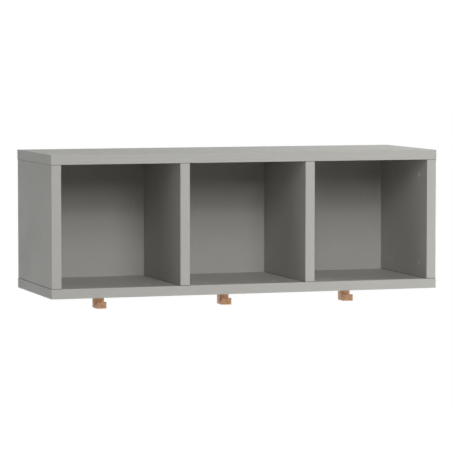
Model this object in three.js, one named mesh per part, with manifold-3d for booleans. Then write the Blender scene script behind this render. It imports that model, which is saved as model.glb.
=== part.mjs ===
// Wall shelf with hooks: square open compartments in a row between a full-width top board and a
// full-width bottom board, a back panel set in grooves, and J-shaped oak hooks under the bottom.
// Units are millimetres. X runs along the shelf, +Y points to the wall and +Z is up.
// The origin is the middle of the top board's rear edge, in the plane of the wall.
import * as THREE from 'three';
import { mergeVertices } from 'three/addons/utils/BufferGeometryUtils.js';
import Module from 'manifold-3d';

// Compartments and boards
const compartmentCount = 3;
const compartmentWidth = 313;
const compartmentHeight = 313;
const shelfDepth = 352;
const levelThickness = 25;
const uprightThickness = 25;
const endOverhang = 1;

// Gap left in each joint and round each fitted piece, and how much deeper a bore is than its pin
const fitGap = 0.3;
const boreExtra = 1;

// Back panel, in a groove that runs round the compartments
const backThickness = 3;
const backInset = 20;
const grooveDepth = 8;
const backEdgeGap = 0.6;

// Cam locks, set in the faces of the uprights
const camBoreDiameter = 15;
const camEdgeDistance = 41;
const camFromFront = 52;
const camFromBackPanel = 85;
const camBelowBolt = 5.7;
const camSlotLength = 9;
const camSlotWidth = 1.8;
const camSlotDepth = 2;

// Cam bolts, screwed into the top and bottom boards
const boltThreadDiameter = 6;
const boltThreadLength = 12;
const boltShankDiameter = 7;
const boltNeckDiameter = 4.4;
const boltHeadLength = 2.6;
const boltNeckLength = 5;
const boltTaper = 1;

// Dowels between the end panels and the top and bottom boards
const dowelDiameter = 8;
const dowelInUpright = 22;
const dowelInLevel = 13;
const dowelChamfer = 1;

// Hooks under the bottom board
const hookWidth = 25.5;
const hookShank = 22;
const hookGap = 18;
const hookLip = 6;
const hookDrop = 45;
const hookArm = 9;
const hookLipRise = 8.4;
const hookFrontDistance = 174.5;
const hookOutwardShift = 3.3;
const hookSaddleRadius = 4.5;
const hookOuterRadius = 2.4;
const hookTipRadius = 1.6;
const hookArris = 0.5;
const hookScrewDiameter = 6;
const hookScrewInHook = 24;
const boardOverHookScrew = 8;

// Keyhole hanger plates in the rear edges of the end panels
const plateWidth = 16;
const plateHeight = 60;
const plateThickness = 2;
const plateTopDistance = 18;
const keyEntryDiameter = 11;
const keySlotWidth = 5.5;
const keyRise = 15;
const keyDrop = 6;
const pocketMargin = 1;
const pocketDepth = 10;
const plateScrewDistance = 7;
const plateScrewDiameter = 3.5;
const plateScrewLength = 16;
const plateScrewHead = 6.6;
const plateScrewHeadDepth = 1.7;
const plateScrewSlot = 3.6;
const plateScrewSlotWidth = 0.8;
const plateScrewSlotDepth = 0.9;

// Push-in caps in the floors of the compartments
const capDiameter = 12;
const capRise = 1;
const capStemDiameter = 7.4;
const capStemLength = 9;
const capStemTaper = 1;
const capFrontDistance = 67;
const capFromHook = 93;

// Steps round a full circle
const camSteps = 24;
const rodSteps = 8;
const screwSteps = 12;
const capSteps = 18;
const plateArcSteps = 8;
const hookArcSteps = 4;

// Sizes and places that follow
const compartmentPitch = compartmentWidth + uprightThickness;
const shelfWidth = compartmentCount * compartmentPitch + uprightThickness + 2 * endOverhang;
const uprightHeight = compartmentHeight - 2 * fitGap;
const topUndersideZ = -levelThickness / 2;
const floorZ = topUndersideZ - compartmentHeight;
const undersideZ = floorZ - levelThickness;
const uprightZ = (topUndersideZ + floorZ) / 2;
const bottomZ = (floorZ + undersideZ) / 2;
const frontY = -shelfDepth;
const backRearY = -backInset;
const backFrontY = backRearY - backThickness;
const camYs = { front: frontY + camFromFront, rear: backFrontY - camFromBackPanel };
const dowelY = (camYs.front + camYs.rear) / 2;
const boltDepth = uprightThickness / 2;
const camBoreDepth = boltDepth + camBelowBolt + fitGap;
const boltRadius = boltShankDiameter / 2;
const boltThreadRadius = boltThreadDiameter / 2;
const plateZ = topUndersideZ - plateTopDistance - plateHeight / 2;
const keyEntryZ = -keyDrop;
const keySlotTopZ = keyEntryZ + keyRise;
const hookDepth = hookShank + hookGap + hookLip;
const hookRearY = frontY + hookFrontDistance + hookDepth;
const hookCentreY = -hookShank / 2;
const hookScrewInBoard = levelThickness - boardOverHookScrew;

// How far a cutter stands out of the face that it enters, and one that goes right through
const past = 1;
const through = 2 * Math.max(levelThickness, uprightThickness);

// The uprights from left to right: place, depth, and the side that the cam locks are set in
const uprights = [];
for (let i = 0; i <= compartmentCount; i += 1) {
  const isLeftEnd = i === 0;
  const isRightEnd = i === compartmentCount;
  const isEnd = isLeftEnd || isRightEnd;
  const endName = isLeftEnd ? 'left_end_panel' : 'right_end_panel';
  uprights.push({
    name: isEnd ? endName : `divider_${i}`,
    x: (i - compartmentCount / 2) * compartmentPitch,
    isEnd,
    camSide: isRightEnd ? -1 : 1,
    inward: isLeftEnd ? 1 : -1,
    rearY: isEnd ? 0 : backFrontY - fitGap,
  });
}

// The two boards that the uprights stand between, seen from an upright
const levels = [
  { name: 'bottom', side: -1, z: floorZ },
  { name: 'top', side: 1, z: topUndersideZ },
];

// The hooks, one under each compartment, the outer ones a little further out than its middle
const hooks = [];
for (let i = 0; i < compartmentCount; i += 1) {
  const fromCentre = i - (compartmentCount - 1) / 2;
  hooks.push({
    name: `hook_${i + 1}`,
    x: fromCentre * (compartmentPitch + hookOutwardShift),
    hasDividerLeft: i > 0,
    hasDividerRight: i < compartmentCount - 1,
  });
}

// The caps lie in line with each other, on the divider side of each hook
const capXs = [];
for (const hook of hooks) {
  if (hook.hasDividerLeft) capXs.push(hook.x - capFromHook);
  if (hook.hasDividerRight) capXs.push(hook.x + capFromHook);
}

// Solids
const wasm = await Module();
wasm.setup();

// A three.js geometry as a solid that can be cut and joined
function solidOf(geometry) {
  const bare = geometry.clone();
  bare.deleteAttribute('normal');
  bare.deleteAttribute('uv');
  const merged = mergeVertices(bare, 1e-3);
  return new wasm.Manifold(new wasm.Mesh({
    numProp: 3,
    vertProperties: merged.getAttribute('position').array,
    triVerts: new Uint32Array(merged.getIndex().array),
  }));
}

// A solid as a three.js geometry
function geometryOf(solid) {
  const mesh = solid.getMesh();
  const geometry = new THREE.BufferGeometry();
  geometry.setAttribute('position', new THREE.BufferAttribute(mesh.vertProperties, 3));
  geometry.setIndex(new THREE.BufferAttribute(mesh.triVerts, 1));
  geometry.computeVertexNormals();
  return geometry;
}

// A body with all the cutters taken out of it
function cut(body, cutters) {
  const solid = cutters.reduce((left, cutter) => left.subtract(solidOf(cutter)), solidOf(body));
  return geometryOf(solid);
}

// A block between two corners
function block(low, high) {
  const size = high.map((value, i) => value - low[i]);
  const centre = high.map((value, i) => (value + low[i]) / 2);
  return new THREE.BoxGeometry(...size).translate(...centre);
}

// A round bar of the given radius along Z, from one height to another, at x and y
function bar(radius, fromZ, toZ, x, y, steps) {
  const low = Math.min(fromZ, toZ);
  const high = Math.max(fromZ, toZ);
  return new THREE.CylinderGeometry(radius, radius, high - low, steps)
    .rotateX(Math.PI / 2)
    .translate(x, y, (low + high) / 2);
}

// A turned piece about Z, from [radius, height] points that start and end on the axis
function turned(points, steps) {
  const profile = points.map(([radius, z]) => new THREE.Vector2(radius, z));
  return new THREE.LatheGeometry(profile, steps).rotateX(Math.PI / 2);
}

// The two bars of a cross recess in a face at height z, open upwards
function crossRecess(length, width, depth, z) {
  const bottom = z - depth;
  const top = z + depth;
  return [
    block([-length / 2, -width / 2, bottom], [length / 2, width / 2, top]),
    block([-width / 2, -length / 2, bottom], [width / 2, length / 2, top]),
  ];
}

// Turns a geometry so that its X, Y and Z point along the given directions
function face(geometry, x, y, z) {
  return geometry.applyMatrix4(new THREE.Matrix4().makeBasis(x, y, z));
}

const alongX = new THREE.Vector3(1, 0, 0);
const alongY = new THREE.Vector3(0, 1, 0);
const alongZ = new THREE.Vector3(0, 0, 1);

// An outline with straight sides and half-round ends, centred between two heights
function slotShape(width, lowY, highY) {
  const radius = width / 2;
  const shape = new THREE.Shape();
  shape.absarc(0, highY, radius, 0, Math.PI, false);
  shape.absarc(0, lowY, radius, Math.PI, 2 * Math.PI, false);
  shape.closePath();
  return shape;
}

// A slot-shaped plug that lies in the rear edge of a panel, from one depth to another
function edgePlug(width, lowZ, highZ, depth) {
  const shape = slotShape(width, lowZ, highZ);
  const plug = new THREE.ExtrudeGeometry(shape, {
    depth,
    bevelEnabled: false,
    curveSegments: plateArcSteps,
  });
  return face(plug, alongX.clone().negate(), alongZ, alongY);
}

// Materials
const finishes = {
  board: { color: 0xb4b4ae, roughness: 0.55, metalness: 0 },
  back: { color: 0xa19c93, roughness: 0.65, metalness: 0 },
  oak: { color: 0xb5875f, roughness: 0.6, metalness: 0 },
  zinc: { color: 0xc4c6c8, roughness: 0.35, metalness: 1 },
  steel: { color: 0xb9bcbf, roughness: 0.3, metalness: 1 },
  beech: { color: 0xd2b48c, roughness: 0.7, metalness: 0 },
  plastic: { color: 0xd6d6d2, roughness: 0.45, metalness: 0 },
};

const shelf = new THREE.Group();

// Adds a named piece with a material of its own
function addPiece(name, geometry, finish, x, y, z) {
  const mesh = new THREE.Mesh(geometry, new THREE.MeshStandardMaterial(finishes[finish]));
  mesh.name = name;
  mesh.position.set(x, y, z);
  shelf.add(mesh);
  return mesh;
}

// Top and bottom boards, with the bores for bolts and dowels, and the groove for the back panel
const backWidth = compartmentCount * compartmentPitch - uprightThickness
  + 2 * (grooveDepth - backEdgeGap);
const backHeight = compartmentHeight + 2 * (grooveDepth - backEdgeGap);
const grooveLowY = backFrontY - fitGap;
const grooveHighY = backRearY + fitGap;

// inner is the sign of the board's face towards the compartments
function levelBoard(inner) {
  const half = levelThickness / 2;
  const body = block([-shelfWidth / 2, frontY, -half], [shelfWidth / 2, 0, half]);
  const cutters = [];
  const outside = inner * (half + past);
  for (const upright of uprights) {
    for (const y of Object.values(camYs)) {
      const depth = inner * (half - boltThreadLength - boreExtra);
      cutters.push(bar(boltThreadRadius + fitGap, depth, outside, upright.x, y, rodSteps));
    }
    if (upright.isEnd) {
      const depth = inner * (half - dowelInLevel - fitGap);
      cutters.push(bar(dowelDiameter / 2 + fitGap, depth, outside, upright.x, dowelY, rodSteps));
    }
  }
  const grooveEnd = backWidth / 2 + fitGap;
  const grooveFloor = inner * (half - grooveDepth);
  cutters.push(block(
    [-grooveEnd, grooveLowY, Math.min(grooveFloor, outside)],
    [grooveEnd, grooveHighY, Math.max(grooveFloor, outside)],
  ));
  return { body, cutters };
}

function addTopBoard() {
  const { body, cutters } = levelBoard(-1);
  addPiece('top_board', cut(body, cutters), 'board', 0, 0, 0);
}

function addBottomBoard() {
  const { body, cutters } = levelBoard(1);
  const half = levelThickness / 2;
  for (const x of capXs) {
    const y = frontY + capFrontDistance;
    const depth = half - capStemLength - boreExtra;
    cutters.push(bar(capStemDiameter / 2 + fitGap, depth, half + past, x, y, rodSteps));
  }
  for (const hook of hooks) {
    const y = hookRearY + hookCentreY;
    const depth = hookScrewInBoard - half + fitGap;
    cutters.push(bar(hookScrewDiameter / 2 + fitGap, -half - past, depth, hook.x, y, rodSteps));
  }
  addPiece('bottom_board', cut(body, cutters), 'board', 0, 0, bottomZ);
}

// End panels and dividers. An end panel also has the back panel's groove, dowel bores, and the
// recess and pocket of its hanger plate
function hangerCutters() {
  const z = plateZ - uprightZ;
  const halfStraight = (plateHeight - plateWidth) / 2;
  const recess = edgePlug(plateWidth + 2 * fitGap, -halfStraight, halfStraight, through);
  const pocketWidth = keyEntryDiameter + 2 * pocketMargin;
  const pocket = edgePlug(pocketWidth, keyEntryZ, keySlotTopZ, through);
  const cutters = [
    recess.translate(0, -plateThickness - 2 * fitGap, z),
    pocket.translate(0, -plateThickness - pocketDepth, z),
  ];
  for (const side of [-1, 1]) {
    const radius = plateScrewDiameter / 2 + fitGap;
    const screw = bar(radius, -plateScrewLength - boreExtra, past, 0, 0, rodSteps);
    face(screw, alongX.clone().negate(), alongZ, alongY);
    cutters.push(screw.translate(0, 0, z + side * (plateHeight / 2 - plateScrewDistance)));
  }
  return cutters;
}

function uprightGeometry(upright) {
  const halfThickness = uprightThickness / 2;
  const halfHeight = uprightHeight / 2;
  const body = block(
    [-halfThickness, frontY, -halfHeight],
    [halfThickness, upright.rearY, halfHeight],
  );
  const cutters = [];
  const bottomOfCam = halfThickness - camBoreDepth;
  for (const level of levels) {
    const camZ = level.side * (compartmentHeight / 2 - camEdgeDistance);
    const end = level.side * (halfHeight + past);
    for (const y of Object.values(camYs)) {
      const camBore = bar(camBoreDiameter / 2, bottomOfCam, halfThickness + past, 0, 0, camSteps);
      face(camBore, alongZ.clone().multiplyScalar(-upright.camSide), alongY,
        alongX.clone().multiplyScalar(upright.camSide));
      cutters.push(camBore.translate(0, y, camZ));
      cutters.push(bar(boltRadius + fitGap, camZ, end, 0, y, rodSteps));
    }
    if (upright.isEnd) {
      const dowelEnd = level.side * (halfHeight - dowelInUpright - fitGap);
      cutters.push(bar(dowelDiameter / 2 + fitGap, dowelEnd, end, 0, dowelY, rodSteps));
    }
  }
  if (upright.isEnd) {
    const grooveFloor = upright.inward * (halfThickness - grooveDepth);
    const outside = upright.inward * (halfThickness + past);
    cutters.push(block(
      [Math.min(grooveFloor, outside), grooveLowY, -halfHeight - past],
      [Math.max(grooveFloor, outside), grooveHighY, halfHeight + past],
    ));
    cutters.push(...hangerCutters());
  }
  return cut(body, cutters);
}

function addUprights() {
  for (const upright of uprights) {
    addPiece(upright.name, uprightGeometry(upright), 'board', upright.x, 0, uprightZ);
  }
}

function addBackPanel() {
  const panel = new THREE.BoxGeometry(backWidth, backThickness, backHeight);
  addPiece('back_panel', panel, 'back', 0, (backRearY + backFrontY) / 2, uprightZ);
}

// A cam lock along +Z with its face at the top: a round body with a cross recess, and a channel
// from its middle out along +Y for the head and neck of the bolt
function camGeometry() {
  const radius = camBoreDiameter / 2 - fitGap;
  const body = bar(radius, -boltDepth - camBelowBolt, -fitGap, 0, 0, camSteps);
  const roomRadius = boltRadius + fitGap;
  const room = block(
    [-roomRadius, -boltHeadLength - fitGap, -boltDepth - roomRadius],
    [roomRadius, camBoreDiameter, -boltDepth + roomRadius],
  );
  return cut(body, [room, ...crossRecess(camSlotLength, camSlotWidth, camSlotDepth, -fitGap)]);
}

// A cam bolt along +Z from its threaded end, with the joint at height 0
function boltGeometry() {
  const head = camEdgeDistance;
  const thread = boltThreadRadius;
  const neck = boltNeckDiameter / 2;
  return turned([
    [0, -boltThreadLength],
    [thread - boltTaper, -boltThreadLength],
    [thread, -boltThreadLength + boltTaper],
    [thread, 0],
    [boltRadius, fitGap],
    [boltRadius, head - boltNeckLength],
    [neck, head - boltNeckLength + boltTaper],
    [neck, head],
    [boltRadius, head + fitGap],
    [boltRadius, head + boltHeadLength / 2],
    [0, head + boltHeadLength - fitGap],
  ], rodSteps);
}

function addCamFittings() {
  const camShape = camGeometry();
  const boltShape = boltGeometry();
  for (const upright of uprights) {
    for (const level of levels) {
      for (const [place, y] of Object.entries(camYs)) {
        const name = `${upright.name}_${level.name}_${place}`;
        const faceX = upright.x + upright.camSide * uprightThickness / 2;
        const camZ = level.z - level.side * camEdgeDistance;
        const cam = addPiece(`${name}_cam`, camShape, 'zinc', faceX, y, camZ);
        const outOfFace = alongX.clone().multiplyScalar(upright.camSide);
        const toJoint = alongZ.clone().multiplyScalar(level.side);
        const across = toJoint.clone().cross(outOfFace);
        cam.quaternion.setFromRotationMatrix(
          new THREE.Matrix4().makeBasis(across, toJoint, outOfFace),
        );
        const bolt = addPiece(`${name}_bolt`, boltShape, 'steel', upright.x, y, level.z);
        if (level.side > 0) bolt.rotation.x = Math.PI;
      }
    }
  }
}

function addDowels() {
  const radius = dowelDiameter / 2;
  const shape = turned([
    [0, -dowelInLevel],
    [radius - dowelChamfer, -dowelInLevel],
    [radius, -dowelInLevel + dowelChamfer],
    [radius, dowelInUpright - dowelChamfer],
    [radius - dowelChamfer, dowelInUpright],
    [0, dowelInUpright],
  ], rodSteps);
  for (const upright of uprights.filter((piece) => piece.isEnd)) {
    for (const level of levels) {
      const name = `${upright.name}_${level.name}_dowel`;
      const dowel = addPiece(name, shape, 'beech', upright.x, dowelY, level.z);
      if (level.side > 0) dowel.rotation.x = Math.PI;
    }
  }
}

// A hook's side outline, with x forwards as negative and y upwards: a shank down from the board,
// an arm forwards, and a lip that turns up at its end
function hookOutline() {
  const saddleY = -hookDrop + hookArm;
  const tipY = saddleY + hookLipRise;
  const lipRearX = -hookShank - hookGap;
  const tipRadius = Math.min(hookTipRadius, hookLip / 2, hookLipRise / 2);
  const saddleRadius = Math.min(hookSaddleRadius, hookGap / 2, hookLipRise - tipRadius);
  const outerRadius = Math.min(hookOuterRadius, hookArm / 2);
  const quarter = Math.PI / 2;
  const shape = new THREE.Shape();
  const corner = (x, y, radius, start, clockwise) => {
    const end = clockwise ? start - quarter : start + quarter;
    shape.absarc(x, y, radius, start, end, clockwise);
  };
  shape.moveTo(0, 0);
  shape.lineTo(-hookShank, 0);
  corner(-hookShank - saddleRadius, saddleY + saddleRadius, saddleRadius, 0, true);
  corner(lipRearX + saddleRadius, saddleY + saddleRadius, saddleRadius, -quarter, true);
  corner(lipRearX - tipRadius, tipY - tipRadius, tipRadius, 0, false);
  corner(-hookDepth + tipRadius, tipY - tipRadius, tipRadius, quarter, false);
  corner(-hookDepth + outerRadius, -hookDrop + outerRadius, outerRadius, 2 * quarter, false);
  corner(-outerRadius, -hookDrop + outerRadius, outerRadius, 3 * quarter, false);
  shape.closePath();
  return shape;
}

function addHooks() {
  const straight = hookWidth - 2 * hookArris;
  const profile = new THREE.ExtrudeGeometry(hookOutline(), {
    depth: straight,
    bevelEnabled: true,
    bevelSegments: 1,
    bevelThickness: hookArris,
    bevelSize: hookArris,
    bevelOffset: -hookArris,
    curveSegments: hookArcSteps,
  }).translate(0, 0, -straight / 2);
  face(profile, alongY, alongZ, alongX);
  const radius = hookScrewDiameter / 2;
  const bore = bar(radius + fitGap, -hookScrewInHook - fitGap, past, 0, hookCentreY, rodSteps);
  const hookShape = cut(profile, [bore]);
  const screwShape = turned([
    [0, -hookScrewInHook],
    [radius, -hookScrewInHook + radius],
    [radius, hookScrewInBoard - radius],
    [0, hookScrewInBoard],
  ], rodSteps);
  for (const hook of hooks) {
    const topZ = undersideZ - fitGap;
    addPiece(hook.name, hookShape, 'oak', hook.x, hookRearY, topZ);
    addPiece(`${hook.name}_screw`, screwShape, 'steel', hook.x, hookRearY + hookCentreY, topZ);
  }
}

// A hanger plate: a steel plate with half-round ends, an entry hole that a screw head passes, a
// narrow slot above it that holds the screw, and a countersunk hole near each end
function addHangers() {
  const halfStraight = (plateHeight - plateWidth) / 2;
  const screwZ = plateHeight / 2 - plateScrewDistance;
  const faceY = -fitGap;
  const rearToFront = alongX.clone().negate();
  const cutters = [
    edgePlug(keyEntryDiameter, keyEntryZ, keyEntryZ, through),
    edgePlug(keySlotWidth, keyEntryZ, keySlotTopZ, through),
  ];
  cutters.forEach((cutter) => cutter.translate(0, -through / 2, 0));
  const screwRadius = plateScrewDiameter / 2;
  const headRadius = plateScrewHead / 2;
  for (const side of [-1, 1]) {
    const hole = turned([
      [0, -through],
      [screwRadius + fitGap, -through],
      [screwRadius + fitGap, -plateScrewHeadDepth - fitGap],
      [headRadius + fitGap, 0],
      [headRadius + fitGap, past],
      [0, past],
    ], screwSteps);
    face(hole, rearToFront, alongZ, alongY);
    cutters.push(hole.translate(0, 0, side * screwZ));
  }
  const plate = edgePlug(plateWidth, -halfStraight, halfStraight, plateThickness);
  const plateShape = cut(plate.translate(0, -plateThickness, 0), cutters);
  const screwBody = turned([
    [0, -plateScrewLength],
    [screwRadius, -plateScrewLength + plateScrewDiameter],
    [screwRadius, -plateScrewHeadDepth],
    [headRadius, 0],
    [0, 0],
  ], screwSteps);
  const slots = crossRecess(plateScrewSlot, plateScrewSlotWidth, plateScrewSlotDepth, 0);
  const screwShape = face(cut(screwBody, slots), rearToFront, alongZ, alongY);
  for (const upright of uprights.filter((piece) => piece.isEnd)) {
    const side = upright.inward > 0 ? 'left' : 'right';
    addPiece(`${side}_hanger_plate`, plateShape, 'steel', upright.x, faceY, plateZ);
    addPiece(`${side}_hanger_upper_screw`, screwShape, 'steel', upright.x, faceY, plateZ + screwZ);
    addPiece(`${side}_hanger_lower_screw`, screwShape, 'steel', upright.x, faceY, plateZ - screwZ);
  }
}

// A push-in cap: a low domed head on the floor, and a stem in the board
function addFloorCaps() {
  const radius = capDiameter / 2;
  const stem = capStemDiameter / 2;
  const shape = turned([
    [0, -capStemLength],
    [stem - capStemTaper, -capStemLength],
    [stem, -capStemLength + capStemTaper],
    [stem, fitGap],
    [radius, fitGap],
    [radius - capRise / 2, capRise],
    [0, capRise + fitGap],
  ], capSteps);
  capXs.forEach((x, i) => {
    addPiece(`floor_cap_${i + 1}`, shape, 'plastic', x, frontY + capFrontDistance, floorZ);
  });
}

addTopBoard();
addBottomBoard();
addUprights();
addBackPanel();
addCamFittings();
addDowels();
addHooks();
addHangers();
addFloorCaps();

export default shelf;
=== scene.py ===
"""A wall shelf of pale grey melamine board: three open compartments side by side, a back panel
set in from the wall, and three oak hooks under the bottom board.

Lengths are in metres. X runs along the shelf, +Y points to the wall and +Z is up, and the origin
is the middle of the top board's rear edge.
"""

import math

import bmesh
import bpy
from mathutils import Matrix, Vector


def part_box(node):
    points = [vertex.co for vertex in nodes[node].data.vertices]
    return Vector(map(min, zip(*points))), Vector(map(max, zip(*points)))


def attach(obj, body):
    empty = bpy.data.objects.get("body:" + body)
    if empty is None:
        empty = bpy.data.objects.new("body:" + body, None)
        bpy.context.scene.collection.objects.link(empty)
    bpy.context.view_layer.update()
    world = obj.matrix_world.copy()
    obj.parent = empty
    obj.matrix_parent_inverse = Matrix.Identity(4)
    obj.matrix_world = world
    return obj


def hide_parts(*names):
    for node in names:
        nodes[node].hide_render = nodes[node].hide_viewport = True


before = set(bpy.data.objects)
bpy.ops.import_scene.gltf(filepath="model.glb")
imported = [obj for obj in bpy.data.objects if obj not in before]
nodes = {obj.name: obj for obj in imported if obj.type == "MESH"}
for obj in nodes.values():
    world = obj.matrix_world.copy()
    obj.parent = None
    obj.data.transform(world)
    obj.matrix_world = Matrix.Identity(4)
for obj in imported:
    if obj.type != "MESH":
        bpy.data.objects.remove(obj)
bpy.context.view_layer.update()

MM = 0.001

# Boards: their eased edges, and how close to a side a corner counts as touching it
EASED_EDGE = 0.5 * MM
EASED_EDGE_STEPS = 3
BACK_EASED_EDGE = 0.125 * MM
TOUCHING = 0.02 * MM

# Edge bands: their hairline against the face, their soft start and how much lighter they are
# painted, which stands for the light the front edges catch
BAND_THICKNESS = 1.0 * MM
BAND_LINE_DARK = 0.03 * MM
BAND_LINE_GONE = 0.09 * MM
BAND_BLUR = 0.06 * MM
PAINTED_BAND_LIGHT = 1.07

# How far the painted shadow in a seam, the shade of the gap between boards, reaches from an
# upright's end
LOWER_PAINTED_SEAM_SHADOW = 0.9 * MM
UPPER_PAINTED_SEAM_SHADOW = 0.55 * MM

# Hooks: the outline's parts, its round corners, the rounding along its sides and the bore
HOOK_SHANK = 22 * MM
HOOK_LIP = 6 * MM
HOOK_ARM = 9 * MM
HOOK_LIP_RISE = 8.4 * MM
HOOK_SADDLE_RADIUS = 4.5 * MM
HOOK_OUTER_RADIUS = 2.4 * MM
HOOK_TIP_RADIUS = 1.6 * MM
HOOK_ARRIS = 0.6 * MM
HOOK_ARRIS_STEPS = 4
HOOK_BORE_RADIUS = 3.3 * MM
HOOK_BORE_DEPTH = 24.3 * MM

# How much lighter than plain oak each hook is painted: light that stands in for the bottom board's
# shadow on the hooks and for the uneven light along them
HOOK_PAINTED_LIGHT = {"hook_1": 1.24, "hook_2": 1.22, "hook_3": 1.08}

# Hook screws: how far they go into the board, their points and the bare and tapered ends
HOOK_SCREW_IN_BOARD = 17 * MM
HOOK_SCREW_POINT = 0.4 * MM
HOOK_SCREW_BARE = 1 * MM
HOOK_SCREW_TAPER = 2.5 * MM
HOOK_SCREW_ROOT = 0.7

# Cam locks, with their face a little below the board's
CAM_RADIUS = 7.2 * MM
CAM_RIM = 0.9 * MM
CAM_GROOVE = 0.35 * MM
CAM_HUB_RADIUS = 5.1 * MM
CAM_CROSS_LENGTH = 8.6 * MM
CAM_CROSS_WIDTH = 1.8 * MM
CAM_CROSS_DEPTH = 2 * MM
CAM_SETBACK = 0.3 * MM
CAM_TO_BOLT = 12.5 * MM
CAM_BELOW_BOLT = 5.7 * MM
CAM_ROOM_RADIUS = 3.8 * MM
CAM_ROOM_BEHIND = 2.9 * MM
CAM_ARROW_WIDTH = 1.8 * MM
CAM_ARROW_DEPTH = 0.3 * MM
CAM_ARROW_FROM_HUB = 0.5 * MM
CAM_ARROW_FROM_RIM = 0.4 * MM

# Cam bolts: the thread in a board, the collar and shank in an upright, and the waisted head
BOLT_IN_BOARD = 12 * MM
BOLT_LENGTH = 43.3 * MM
BOLT_THREAD_RADIUS = 3 * MM
BOLT_THREAD_TAPER = 1.5 * MM
BOLT_THREAD_ROOT = 0.72
BOLT_COLLAR = 0.3 * MM
BOLT_SHANK_RADIUS = 3.5 * MM
BOLT_NECK_RADIUS = 2.2 * MM
BOLT_NECK_LENGTH = 4 * MM
BOLT_HEAD_LENGTH = 2.3 * MM
BOLT_TIP_RADIUS = 1 * MM

# Threads: how far a turn carries and half its ridge's share of it. A root is a share of a radius
BOLT_PITCH = 2.4 * MM
HOOK_SCREW_PITCH = 2.6 * MM
PLATE_SCREW_PITCH = 1.6 * MM
HALF_RIDGE = 0.35
STEPS_PER_TURN = 8

# Cross recesses: the floor's share of the mouth's length and width
CROSS_FLOOR_LENGTH = 0.55
CROSS_FLOOR_WIDTH = 0.8

# Dowels
DOWEL_FLUTES = 20
DOWEL_FLUTE_DEPTH = 0.25 * MM
DOWEL_CHAMFER = 1 * MM

# Hanger plates and their screws
PLATE_EDGE = 0.25 * MM
PLATE_EDGE_STEPS = 2
KEY_ENTRY_RADIUS = 5.5 * MM
KEY_SLOT_RADIUS = 2.75 * MM
KEY_RISE = 15 * MM
KEY_DROP = 6 * MM
PLATE_SCREW_DISTANCE = 7 * MM
PLATE_SCREW_RADIUS = 1.75 * MM
PLATE_HOLE_RADIUS = 2.05 * MM
PLATE_SINK_RADIUS = 3.6 * MM
PLATE_HEAD_DEPTH = 1.7 * MM
PLATE_HEAD_EDGE = 0.15 * MM
PLATE_SCREW_POINT = 0.2 * MM
PLATE_SCREW_TAPER = 1.5 * MM
PLATE_SCREW_BARE = 5 * MM
PLATE_SCREW_ROOT = 0.68
PLATE_SCREW_NECK = 0.85
PLATE_CROSS_LENGTH = 3.6 * MM
PLATE_CROSS_WIDTH = 0.8 * MM
PLATE_CROSS_DEPTH = 0.9 * MM

# Floor caps: the domed head on the floor, and the stem with its ribs and the grooves between
CAP_HEAD = 1.3 * MM
CAP_RIM = 0.15 * MM
CAP_GAP = 0.3 * MM
CAP_STEM_RADIUS = 3.7 * MM
CAP_RIBS = 3
CAP_RIB_PITCH = 2 * MM
CAP_GROOVE_PART_OF_PITCH = 0.75
CAP_RIB_STEP = 0.3 * MM
CAP_RIB_DEPTH = 0.4 * MM
CAP_DOME_SPREAD_POWER = 0.6
CAP_DOME_RISE_POWER = 1.3

# Steps round a circle and along an arc, and the degrees between faces that tell edges apart
FINE_SIDES = 64
THREAD_SIDES = 24
ARC_STEPS = 10
FLAT_ANGLE = 1
SHARP_ANGLE = 35
HOOK_ROUNDED_ANGLE = 50
PLATE_ROUNDED_ANGLE = 60


# Nodes


def linear(red, green, blue):
    """A colour written as it shows, 0 to 255, for a node."""
    parts = []
    for value in (red, green, blue):
        share = value / 255
        low = share / 12.92
        high = ((share + 0.055) / 1.055) ** 2.4
        parts.append(low if share <= 0.04045 else high)
    return (*parts, 1)


def toned(colour, tone):
    """A colour made lighter or darker."""
    return (*(part * tone for part in colour[:3]), 1)


def add(tree, kind, inputs=(), **settings):
    """A node with these settings, each input joined to a socket or set to a value."""
    node = tree.nodes.new(kind)
    for name, value in settings.items():
        setattr(node, name, value)
    pairs = inputs.items() if isinstance(inputs, dict) else enumerate(inputs)
    for key, value in pairs:
        if isinstance(value, bpy.types.NodeSocket):
            tree.links.new(value, node.inputs[key])
        elif value is not None:
            node.inputs[key].default_value = value
    return node


def reckon(tree, operation, *values):
    """One step of arithmetic."""
    return add(tree, "ShaderNodeMath", values, operation=operation).outputs[0]


def remap(tree, value, given, wanted=(0.0, 1.0)):
    """A value carried from the given range to the wanted one and kept inside it."""
    return add(tree, "ShaderNodeMapRange", (value, *given, *wanted)).outputs[0]


def stretched(tree, vector, scale):
    """A place with each axis scaled by itself, so that a pattern runs longer along one."""
    return add(tree, "ShaderNodeVectorMath", (vector, scale), operation="MULTIPLY").outputs[0]


def scaled(tree, vector, factor):
    """A colour or a place times one value."""
    inputs = {0: vector, "Scale": factor}
    return add(tree, "ShaderNodeVectorMath", inputs, operation="SCALE").outputs[0]


def moved(tree, vector, step):
    """A place moved by a step."""
    return add(tree, "ShaderNodeVectorMath", (vector, step), operation="ADD").outputs[0]


def noise(tree, vector, scale, detail=2.0, roughness=0.5, distortion=0.0):
    """Cloudy noise from 0 to 1, centred on a half."""
    inputs = {"Vector": vector, "Scale": scale, "Detail": detail, "Roughness": roughness,
              "Distortion": distortion}
    return add(tree, "ShaderNodeTexNoise", inputs).outputs[0]


def blend(tree, factor, first, second):
    """Two colours mixed: a Mix node's inputs 6 and 7 and its output 2 are its colours."""
    inputs = {0: factor, 6: first, 7: second}
    return add(tree, "ShaderNodeMix", inputs, data_type="RGBA").outputs[2]


def empty_tree(owner):
    """The node tree of a material or the world, with nothing in it yet."""
    owner.use_nodes = True
    owner.node_tree.nodes.clear()
    return owner.node_tree


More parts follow.
